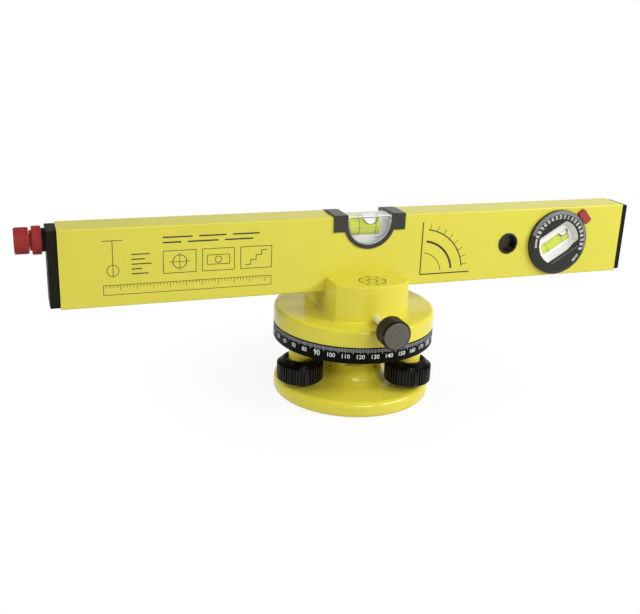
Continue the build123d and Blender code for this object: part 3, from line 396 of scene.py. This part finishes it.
ring_ticks = Sheet(on_ring)
for degree in range(360):
    azimuth = degree + ZERO_AZIMUTH
    end = {0: TICK_END_AT_TENS, 5: TICK_END_AT_FIVES}.get(degree % 10, TICK_END)
    half = (LONG_TICK_HALF if degree % 5 == 0 else TICK_HALF) * DEGREES_PER_MM
    ring_ticks.polygon([(azimuth - half, TICK_TOP), (azimuth - half, end),
                        (azimuth + half, end), (azimuth + half, TICK_TOP)])
ring_ticks.finish("ring_ticks", print_grey, "levelling_plate", "white_plastic")

ring_numbers = Sheet(on_ring)
for degree in range(0, 360, 10):
    ring_numbers.place = ring_number_place(degree + ZERO_AZIMUTH)
    form = RING_MAIN_NUMBER if degree % 90 == 0 else RING_NUMBER
    ring_numbers.number(degree, (0, 0), weight=RING_NUMBER_WEIGHT, **form)
ring_numbers.finish("ring_numbers", print_white, "levelling_plate", "white_plastic")


# Angle dial: ticks, numbers and plain bars, in millimetres from the dial's centre

dial_low, dial_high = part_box("dial_bezel")
dial_x = (dial_low.x + dial_high.x) / 2
dial_z = (dial_low.z + dial_high.z) / 2
dial_face = dial_low.y - PRINT_LIFT
DIAL_TURN = math.radians(31.0)
DIAL_ZERO_AT = 74.0
BEVEL_START = 20.5
BEVEL_SLOPE = 0.5
DIAL_TICK_START = 20.2
DIAL_TICK_START_AT_TENS = 20.0
DIAL_TICK_END = 22.5
DIAL_TICK_WIDTH = 0.17
DIAL_NUMBER_RADIUS = 18.4
DIAL_NUMBER = {"height": 2.7, "squeeze": 0.49, "weight": 0.025}
BAR_GROUPS = ((171, 187), (-31, -46))
BARS = 5
BAR_RADII = (17.9, 19.5)
BAR_WIDTH = 0.7


def on_dial(u, v):
    """u, v in millimetres from the dial's centre, right and up, following the bevel."""
    drop = max(0.0, math.hypot(u, v) - BEVEL_START) * BEVEL_SLOPE
    return (dial_x + u * MM, dial_face + drop * MM, dial_z + v * MM)


dial_ticks = Sheet(on_dial)
for degree in range(-90, 91):
    at = DIAL_ZERO_AT - degree
    start = DIAL_TICK_START_AT_TENS if degree % 10 == 0 else DIAL_TICK_START
    dial_ticks.path([polar(start, at), polar(BEVEL_START, at), polar(DIAL_TICK_END, at)], DIAL_TICK_WIDTH)
dial_ticks.finish("dial_ticks", print_grey, "dial", "white_plastic")

dial_numbers = Sheet(on_dial)
for degree in range(-90, 91, 10):
    at = DIAL_ZERO_AT - degree
    dial_numbers.number(abs(degree), polar(DIAL_NUMBER_RADIUS, at), turn=at - 90, **DIAL_NUMBER)
for first, last in BAR_GROUPS:
    for i in range(BARS):
        at = first + (last - first) * i / (BARS - 1)
        dial_numbers.path([polar(radius, at) for radius in BAR_RADII], BAR_WIDTH)
dial_numbers.finish("dial_numbers", print_white, "dial", "white_plastic")


# Clear blocks of the two vials

BLOCK_BEVEL = 0.6 * MM
CARD_SETBACK = 0.3 * MM
CARD_THICKNESS = 0.2 * MM
CARD_INSET = 0.4 * MM
WINDOW_STEPS = 40
DIAL_WINDOW_STEPS = 20
DIAL_BLOCK_RADIUS = 15.1
DIAL_BLOCK_CHORDS = (-8.2, 10.2)
DIAL_BLOCK_TAPER = 2.6
UPWARD = 0.9


def prism(name, rings, mat, body, side_mat):
    """A closed mesh through rings of equal length, front to back; only its front is polished."""
    count = len(rings[0])
    verts = [point for ring in rings for point in ring]
    faces = [list(range(count))[::-1], list(range(len(verts) - count, len(verts)))]
    for start in range(0, len(verts) - count, count):
        for i in range(count):
            j = (i + 1) % count
            faces.append([start + i, start + j, start + count + j, start + count + i])
    obj = piece(name, verts, faces, mat, body, smooth=True)
    obj.data.materials.append(side_mat)
    for face in obj.data.polygons[1:]:
        face.material_index = 1
    return obj


def window_ring(low, high, inset, y):
    """The top vial block's outline, flat above and round below, clockwise seen from the front."""
    radius = (high.x - low.x) / 2 - inset
    middle_x = (low.x + high.x) / 2
    middle_z = low.z + (high.x - low.x) / 2
    ring = [(middle_x + radius, y, high.z - inset)]
    for i in range(WINDOW_STEPS + 1):
        t = math.pi * i / WINDOW_STEPS
        ring.append((middle_x + radius * math.cos(t), y, middle_z - radius * math.sin(t)))
    ring.append((middle_x - radius, y, high.z - inset))
    return ring


def dial_point(along, across, y):
    """A point beside the dial's axis, in millimetres along and across the angle vial."""
    c = math.cos(DIAL_TURN)
    s = math.sin(DIAL_TURN)
    return (dial_x + (along * c - across * s) * MM, y, dial_z + (along * s + across * c) * MM)


def dial_window_ring(inset, y):
    """A circle cut by two chords, clockwise seen from the front; inset is in millimetres."""
    radius = DIAL_BLOCK_RADIUS - inset
    first = math.asin((DIAL_BLOCK_CHORDS[0] + inset) / radius)
    last = math.asin((DIAL_BLOCK_CHORDS[1] - inset) / radius)
    angles = [first + (last - first) * i / DIAL_WINDOW_STEPS for i in range(DIAL_WINDOW_STEPS + 1)]
    right = [(radius * math.cos(t), radius * math.sin(t)) for t in angles]
    left = [(-u, v) for u, v in right]
    return [dial_point(u, v, y) for u, v in left + right[::-1]]


block_low, block_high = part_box("vial_block")
block = prism("vial_block_clear",
              [window_ring(block_low, block_high, BLOCK_BEVEL, block_low.y),
               window_ring(block_low, block_high, 0.0, block_low.y + BLOCK_BEVEL),
               window_ring(block_low, block_high, 0.0, block_high.y)],
              acrylic, "head", frosted)
for face in block.data.polygons:
    if face.normal.z > UPWARD:
        face.material_index = 0
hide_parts("vial_block")

card_y = (block_low.y + block_high.y) / 2 + CARD_SETBACK
prism("vial_card",
      [window_ring(block_low, block_high, CARD_INSET, y) for y in (card_y, card_y + CARD_THICKNESS)],
      frosted, "head", frosted)

low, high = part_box("angle_vial_block")
back_y = (low.y + high.y) / 2 + CARD_SETBACK
dial_block = prism("angle_vial_block_clear",
                   [dial_window_ring(0.0, low.y), dial_window_ring(DIAL_BLOCK_TAPER, back_y)],
                   acrylic, "dial", frosted)
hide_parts("angle_vial_block", "angle_vial_liquid", "angle_vial_plug")


# Tubes, bubbles and marks of the two vials

WALL_LIFT = 0.02 * MM
# Painted shade around the bubbles' edge: its width, its share at the foot and its lift off the wall
BUBBLE_SHADE_LINE = 0.7 * MM
BUBBLE_SHADE_LINE_FOOT = 0.5
BUBBLE_SHADE_LINE_LIFT = 0.03 * MM
BUBBLE_COLUMNS = 32
BUBBLE_ROWS = 16
TUBE_STEPS = 48


class Tube:
    """A vial's tube: its middle, direction in the XZ plane and radius, in metres."""

    def __init__(self, middle, along, radius, body):
        self.middle = middle
        self.along = along
        self.radius = radius
        self.body = body
        self.up = Vector((-along.z, 0.0, along.x))

    def point(self, along, angle, lift=WALL_LIFT):
        """On the tube's wall; angle 0 is its front and 90 degrees its upper side."""
        reach = self.radius + lift
        return (self.middle + self.along * along + self.up * (reach * math.sin(angle))
                - Vector((0.0, reach * math.cos(angle), 0.0)))

    def bubble(self, name, shift, rise, round_radius):
        """The air's patch of wall, round below, with a dark line of painted shade around its edge that is
        thinner at its foot.
        """
        spread = math.acos(rise / round_radius)
        verts = []
        line_verts = []
        for i in range(BUBBLE_COLUMNS + 1):
            t = spread * (2 * i / BUBBLE_COLUMNS - 1)
            outer = round_radius + BUBBLE_SHADE_LINE * (BUBBLE_SHADE_LINE_FOOT + abs(math.sin(t)))
            heights = [self.radius + rise - reach * math.cos(t) for reach in (round_radius, outer)]
            inner_angle, outer_angle = [math.asin(min(1.0, max(-1.0, height / self.radius)))
                                        for height in heights]
            along = shift + round_radius * math.sin(t)
            for j in range(BUBBLE_ROWS + 1):
                angle = inner_angle + (math.pi - 2 * inner_angle) * j / BUBBLE_ROWS
                verts.append(self.point(along, angle))
            line_verts += [self.point(along, inner_angle, BUBBLE_SHADE_LINE_LIFT),
                           self.point(shift + outer * math.sin(t), outer_angle, BUBBLE_SHADE_LINE_LIFT)]
        faces = []
        line_faces = []
        for i in range(BUBBLE_COLUMNS):
            line_faces.append([2 * i, 2 * i + 1, 2 * i + 3, 2 * i + 2])
            for j in range(BUBBLE_ROWS):
                k = (BUBBLE_ROWS + 1) * i + j
                faces.append([k, k + 1, k + BUBBLE_ROWS + 2, k + BUBBLE_ROWS + 1])
        piece(name, verts, faces, bubble_air, self.body, smooth=True)
        # The bubble's dark outline is painted shade in the marks' colour
        piece(name + "_line", line_verts, line_faces, vial_mark, self.body, smooth=True)

    def liquid(self, name, start, end):
        """The tube's filling as a closed round bar."""
        verts = [self.point(along, 2 * math.pi * k / TUBE_STEPS, 0.0)
                 for along in (start, end) for k in range(TUBE_STEPS)]
        faces = [list(range(TUBE_STEPS)), list(range(2 * TUBE_STEPS - 1, TUBE_STEPS - 1, -1))]
        for k in range(TUBE_STEPS):
            n = (k + 1) % TUBE_STEPS
            faces.append([n, k, TUBE_STEPS + k, TUBE_STEPS + n])
        piece(name, verts, faces, fluid, self.body, smooth=True)

    def mark(self, name, along, width):
        """A thin dark ring around the tube."""
        verts = []
        faces = []
        for k in range(TUBE_STEPS):
            angle = 2 * math.pi * k / TUBE_STEPS
            n = (k + 1) % TUBE_STEPS
            verts += [self.point(along - width / 2, angle), self.point(along + width / 2, angle)]
            faces.append([2 * k, 2 * n, 2 * n + 1, 2 * k + 1])
        piece(name, verts, faces, vial_mark, self.body, smooth=True)


MARK_SPACING = 11.5 * MM
MARK_SHIFT = -1.3 * MM
MARK_WIDTH = 0.5 * MM
low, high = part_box("vial_liquid")
level_radius = (high.y - low.y) / 2
window_middle = (block_low.x + block_high.x) / 2
level = Tube(Vector((window_middle, (low.y + high.y) / 2, low.z + level_radius)),
             Vector((1.0, 0.0, 0.0)), level_radius, "head")
level.bubble("vial_bubble", shift=0.9 * MM, rise=0.85 * MM, round_radius=4.6 * MM)
level.mark("vial_mark_left", MARK_SHIFT - MARK_SPACING / 2, MARK_WIDTH)
level.mark("vial_mark_right", MARK_SHIFT + MARK_SPACING / 2, MARK_WIDTH)

# Painted reflections in the top vial's clear block: grey lines, an arc and a glint, in millimetres from
# the middle of its upper front edge
EDGE_LINE = ((-13.4, -0.9), (13.4, -0.9))
LOWER_REFLECTION_LINE = ((-12.5, -7.7), (13.5, -7.7))
RIM_CENTRE = (0, -5.4)
RIM_RADIUS = 12.6
GLINT = [(2.0, -14.9), (5.0, -14.6), (8.2, -13.6), (5.0, -14.0)]
painted_reflection_lines = Sheet(lambda u, v: (window_middle + u * MM, block_low.y - WALL_LIFT, block_high.z + v * MM))
painted_reflection_lines.line(*EDGE_LINE, width=0.55)
painted_reflection_lines.line(*LOWER_REFLECTION_LINE, width=0.15)
painted_reflection_lines.arc(RIM_CENTRE, RIM_RADIUS, -40, 12, width=0.5, steps=24)
painted_reflection_lines.polygon(GLINT)
painted_reflection_lines.finish("vial_painted_reflections", painted_reflection_grey, "head", "clear_acrylic")

ANGLE_TUBE_OFFSET = 1.0
ANGLE_TUBE_RADIUS = 3.7 * MM
ANGLE_TUBE_ENDS = (-13.0 * MM, 8.8 * MM)
ANGLE_MARKS = (-9.4 * MM, 3.2 * MM, 8.8 * MM)
ANGLE_MARK_WIDTH = 0.4 * MM
low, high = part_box("angle_vial_liquid")
tilted = Tube(Vector(dial_point(0.0, ANGLE_TUBE_OFFSET, (low.y + high.y) / 2)),
              Vector((math.cos(DIAL_TURN), 0.0, math.sin(DIAL_TURN))), ANGLE_TUBE_RADIUS, "dial")
tilted.liquid("angle_tube_liquid", *ANGLE_TUBE_ENDS)
tilted.bubble("angle_bubble", shift=6.6 * MM, rise=0.7 * MM, round_radius=3.0 * MM)
for number, along in enumerate(ANGLE_MARKS, start=1):
    tilted.mark("angle_mark_%d" % number, along, ANGLE_MARK_WIDTH)

# A painted highlight of the raised edge under the dial's window
DIAL_EDGE_HIGHLIGHT = ((-11.5, -10.9), (11.5, -10.9))
painted_dial_edge_highlight = Sheet(lambda u, v: dial_point(u, v, dial_face))
painted_dial_edge_highlight.line(*DIAL_EDGE_HIGHLIGHT, width=0.25)
painted_dial_edge_highlight.finish("painted_dial_edge_highlight", print_grey, "dial", "black_plastic")


# Plain printed motifs on the beam's front, in place of the maker's print

beam_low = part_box("beam")[0]
BEAM_PRINT_LIFT = 0.03 * MM
HAIR = 0.28
FINE = 0.35
THIN = 0.4
FIRM = 0.45
BOLD = 0.8


def on_beam(u, v):
    """u is millimetres from the swivel axis, v is millimetres above the beam's underside."""
    return (u * MM, beam_low.y - BEAM_PRINT_LIFT, beam_low.z + v * MM)


def ruler(sheet, left, right, bottom, top, step=2, long_tick=3.4, short_tick=1.8):
    """A strip with ticks, every fifth one longer."""
    sheet.box((left, bottom), (right, top), FINE)
    for i in range(1, (right - left) // step):
        u = left + step * i
        sheet.line((u, top), (u, top - (short_tick if i % 5 else long_tick)), HAIR)


def target_sign(sheet, u, v, radius=4.2, half_width=6.5, half_height=5.5):
    sheet.circle((u, v), radius, FIRM, steps=40)
    sheet.line((u - half_width, v), (u + half_width, v), FINE)
    sheet.line((u, v - half_height), (u, v + half_height), FINE)


def level_sign(sheet, u, v, radius=2.0, half_width=7, half_height=3):
    sheet.box((u - half_width, v - half_height), (u + half_width, v + half_height), THIN)
    sheet.circle((u, v), radius, FIRM, steps=28)


def stair_sign(sheet, u, v, treads=4, tread=3.5, riser=3):
    left = u - treads * tread / 2
    bottom = v - (treads - 1) * riser / 2
    corners = [(left + tread * ((i + 1) // 2), bottom + riser * (i // 2)) for i in range(2 * treads)]
    sheet.path(corners, FIRM)


def sign_boxes(sheet, lefts, bottom, width=20, height=14):
    """Three framed signs in a row."""
    for left, sign in zip(lefts, (target_sign, level_sign, stair_sign)):
        sheet.box((left, bottom), (left + width, bottom + height), THIN)
        sign(sheet, left + width / 2, bottom + height / 2)


def bar_rows(sheet, rows, top, pitch, width):
    """Rows of short bars, from the top down."""
    for row, spans in enumerate(rows):
        for left, right in spans:
            sheet.line((left, top - pitch * row), (right, top - pitch * row), width)


def plumb_sign(sheet, u, bottom, top, bob_height=3.5, half_width=6):
    sheet.line((u, bottom), (u, top), THIN)
    sheet.line((u - half_width, top), (u + half_width, top), THIN)
    sheet.circle((u, bottom + bob_height), bob_height, THIN, steps=30)


def fan_sign(sheet, corner, arcs, span=(8, 82), tick_end=35, floor=37, post=36):
    """Arcs over two legs, with ticks every ten degrees on the last arc."""
    for radius, width in arcs:
        sheet.arc(corner, radius, *span, width, steps=30)
    outer = arcs[-1][0]
    for angle in range(10, 81, 10):
        sheet.line(polar(outer, angle, corner), polar(tick_end, angle, corner), THIN)
    sheet.line(corner, (corner[0] + floor, corner[1]), BOLD)
    sheet.line(corner, (corner[0], corner[1] + post), BOLD)


LONG_BARS = (((-130, -112), (-108, -91), (-87, -70)), ((-130, -119), (-115, -96), (-92, -74)))
LIST_LEFT = -149
LIST_LENGTHS = (11, 8, 12, 6, 10)
list_bars = [[(LIST_LEFT, LIST_LEFT + length)] for length in LIST_LENGTHS]
beam_prints = Sheet(on_beam)
ruler(beam_prints, left=-166, right=-62, bottom=7.5, top=13.5)
sign_boxes(beam_prints, lefts=(-130, -106, -82), bottom=19)
bar_rows(beam_prints, LONG_BARS, top=41.5, pitch=3.2, width=0.9)
bar_rows(beam_prints, list_bars, top=32, pitch=3, width=0.7)
plumb_sign(beam_prints, u=-160, bottom=19, top=41)
fan_sign(beam_prints, corner=(42.0, 7.0), arcs=((15.0, 0.5), (23.0, 1.4), (31.0, BOLD)))
beam_prints.finish("beam_prints", print_black, "head", "black_plastic")


# A plain emblem on the turret's top

turret_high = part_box("turret_head")[1]
EMBLEM_MIDDLE = (1.5, -26.0)
EMBLEM_RADIUS = 8.5
EMBLEM_HUB_RADIUS = 3.2
EMBLEM_RAY = (4.6, 10.0)
EMBLEM_LINE = 0.5
EMBLEM_HUB_LINE = 0.7


def on_turret(u, v):
    """u, v in millimetres from the swivel axis, along X and Y."""
    return (u * MM, v * MM, turret_high.z + PRINT_LIFT)


emblem = Sheet(on_turret)
emblem.circle(EMBLEM_MIDDLE, EMBLEM_RADIUS, EMBLEM_LINE, steps=48)
emblem.circle(EMBLEM_MIDDLE, EMBLEM_HUB_RADIUS, EMBLEM_HUB_LINE, steps=30)
for angle in range(0, 360, 45):
    emblem.path([polar(radius, angle, EMBLEM_MIDDLE) for radius in EMBLEM_RAY], EMBLEM_LINE)
emblem.finish("turret_emblem", print_black, "head", "black_plastic")


# Floor, world and lamps

FLOOR_Z = -0.3 * MM
FLOOR_REACH = 6.0
FLOOR_BOUNCE = (0.62, 0.60, 0.58)
FLOOR_SEEN = (0.98, 0.98, 0.98)
SHADOW_NEAR = 0.05
SHADOW_FAR = 0.16
PLAIN_SHARE_NEAR = 0.85
ROOM_FRONT = (0.03, 0.025, 0.02)
ROOM_BACK = (0.53, 0.53, 0.52)
ROOM_TURN = (-0.35, 0.55)
WALL_TOWARD = (0.6, 0.75, 0.25)
WALL_EDGE = (0.82, 0.985)
WHITE = (1, 1, 1)


def floor_material():
    """White to the camera with a faint shadow close to the base, and grey for the light it returns."""
    mat = bpy.data.materials.new("floor_white")
    mat.use_nodes = True
    tree = mat.node_tree
    tree.nodes.clear()
    out = add_node(tree, "ShaderNodeOutputMaterial")
    path = add_node(tree, "ShaderNodeLightPath")
    place = add_node(tree, "ShaderNodeTexCoord")
    reach = add_node(tree, "ShaderNodeVectorMath", operation="LENGTH")
    fade = add_node(tree, "ShaderNodeMapRange", From_Min=SHADOW_NEAR, From_Max=SHADOW_FAR,
                    To_Min=PLAIN_SHARE_NEAR, To_Max=1.0)
    tint = add_mix(tree, FLOOR_BOUNCE, FLOOR_SEEN)
    lit = add_node(tree, "ShaderNodeBsdfDiffuse")
    plain = add_node(tree, "ShaderNodeEmission", Color=(*WHITE, 1), Strength=1.0)
    direct = add_node(tree, "ShaderNodeMath", operation="MAXIMUM")
    seen = add_node(tree, "ShaderNodeMath", operation="MAXIMUM")
    share = add_node(tree, "ShaderNodeMath", operation="MULTIPLY")
    mix = add_node(tree, "ShaderNodeMixShader")
    connect(tree,
            (path.outputs["Is Camera Ray"], direct.inputs[0]),
            (path.outputs["Is Transmission Ray"], direct.inputs[1]),
            (direct.outputs[0], seen.inputs[0]),
            (path.outputs["Is Glossy Ray"], seen.inputs[1]),
            (place.outputs["Object"], reach.inputs[0]),
            (reach.outputs["Value"], fade.inputs["Value"]),
            (seen.outputs[0], share.inputs[0]),
            (fade.outputs["Result"], share.inputs[1]),
            (seen.outputs[0], tint.inputs[MIX_FACTOR]),
            (tint.outputs[MIX_RESULT], lit.inputs["Color"]),
            (share.outputs[0], mix.inputs[0]),
            (lit.outputs[0], mix.inputs[1]),
            (plain.outputs[0], mix.inputs[2]),
            (mix.outputs[0], out.inputs[0]))
    return mat


def studio_world():
    """White to the camera and through glass, a white wall behind to the right in reflections,
    and for the light on the object a bright wall behind and a dim room in front."""
    world = bpy.data.worlds.new("studio_world")
    scene.world = world
    world.use_nodes = True
    tree = world.node_tree
    shade = tree.nodes["Background"]
    path = add_node(tree, "ShaderNodeLightPath")
    place = add_node(tree, "ShaderNodeTexCoord")
    parts = add_node(tree, "ShaderNodeSeparateXYZ")
    turn = add_node(tree, "ShaderNodeMapRange", interpolation_type="SMOOTHSTEP",
                    From_Min=ROOM_TURN[0], From_Max=ROOM_TURN[1])
    room = add_mix(tree, ROOM_FRONT, ROOM_BACK)
    toward = add_node(tree, "ShaderNodeVectorMath", operation="DOT_PRODUCT")
    toward.inputs[1].default_value = WALL_TOWARD
    wall = add_node(tree, "ShaderNodeMapRange", interpolation_type="SMOOTHSTEP",
                    From_Min=WALL_EDGE[0], From_Max=WALL_EDGE[1])
    mirrored = add_node(tree, "ShaderNodeMath", operation="MULTIPLY")
    direct = add_node(tree, "ShaderNodeMath", operation="MAXIMUM")
    seen = add_node(tree, "ShaderNodeMath", operation="MAXIMUM")
    colour = add_mix(tree, b=WHITE)
    connect(tree,
            (path.outputs["Is Camera Ray"], direct.inputs[0]),
            (path.outputs["Is Transmission Ray"], direct.inputs[1]),
            (place.outputs["Generated"], toward.inputs[0]),
            (toward.outputs["Value"], wall.inputs["Value"]),
            (path.outputs["Is Glossy Ray"], mirrored.inputs[0]),
            (wall.outputs["Result"], mirrored.inputs[1]),
            (direct.outputs[0], seen.inputs[0]),
            (mirrored.outputs[0], seen.inputs[1]),
            (place.outputs["Generated"], parts.inputs[0]),
            (parts.outputs["Y"], turn.inputs["Value"]),
            (turn.outputs["Result"], room.inputs[MIX_FACTOR]),
            (room.outputs[MIX_RESULT], colour.inputs[MIX_A]),
            (seen.outputs[0], colour.inputs[MIX_FACTOR]),
            (colour.outputs[MIX_RESULT], shade.inputs["Color"]))


def area(name, place, aim, size, power, glossy=True):
    """A soft lamp; a fill lamp isn't mirrored."""
    lamp = bpy.data.lights.new(name, "AREA")
    lamp.shape = "RECTANGLE"
    lamp.size, lamp.size_y = size
    lamp.energy = power
    obj = bpy.data.objects.new(name, lamp)
    obj.location = place
    obj.rotation_euler = (Vector(aim) - Vector(place)).to_track_quat("-Z", "Y").to_euler()
    obj.visible_glossy = glossy
    scene.collection.objects.link(obj)


floor_corners = [(-FLOOR_REACH, -FLOOR_REACH, FLOOR_Z), (FLOOR_REACH, -FLOOR_REACH, FLOOR_Z),
                 (FLOOR_REACH, FLOOR_REACH, FLOOR_Z), (-FLOOR_REACH, FLOOR_REACH, FLOOR_Z)]
floor_mesh = bpy.data.meshes.new("floor")
floor_mesh.from_pydata(floor_corners, [], [(0, 1, 2, 3)])
floor_mesh.materials.append(floor_material())
floor = bpy.data.objects.new("floor", floor_mesh)
scene.collection.objects.link(floor)

studio_world()
area("key", place=(0.82, -0.62, 0.70), aim=(0.0, 0.0, 0.08), size=(0.80, 0.45), power=10.3)
area("front", place=(0.02, -0.90, 0.56), aim=(0.05, 0.0, 0.08), size=(0.36, 0.12), power=3.4)
area("left", place=(-1.2, 0.0, 0.45), aim=(0.0, 0.0, 0.06), size=(0.5, 0.4), power=5.2, glossy=False)
area("above", place=(-0.7, -0.35, 1.0), aim=(0.0, 0.0, 0.08), size=(0.7, 0.7), power=1.1, glossy=False)


# Camera, fitted to the beam's edges in the photo; its height is counted from the beam's underside

PHOTO_WIDTH = 640
HALF_PIXEL = 0.5 / PHOTO_WIDTH
CAMERA_PLACE = (-0.21759, -0.53392, 0.18172)
CAMERA_TURN = (70.874, -2.126, -19.204)

camera_data = bpy.data.cameras.new("camera")
camera_data.sensor_fit = "HORIZONTAL"
camera_data.sensor_width = 36.0
camera_data.lens = 50.6
camera_data.clip_start = 0.01
camera_data.shift_x = -HALF_PIXEL
camera_data.shift_y = HALF_PIXEL
camera = bpy.data.objects.new("camera", camera_data)
camera.location = Vector(CAMERA_PLACE) + Vector((0.0, 0.0, beam_low.z))
camera.rotation_euler = Euler([math.radians(angle) for angle in CAMERA_TURN])
scene.collection.objects.link(camera)
scene.camera = camera

scene.view_settings.view_transform = "Standard"
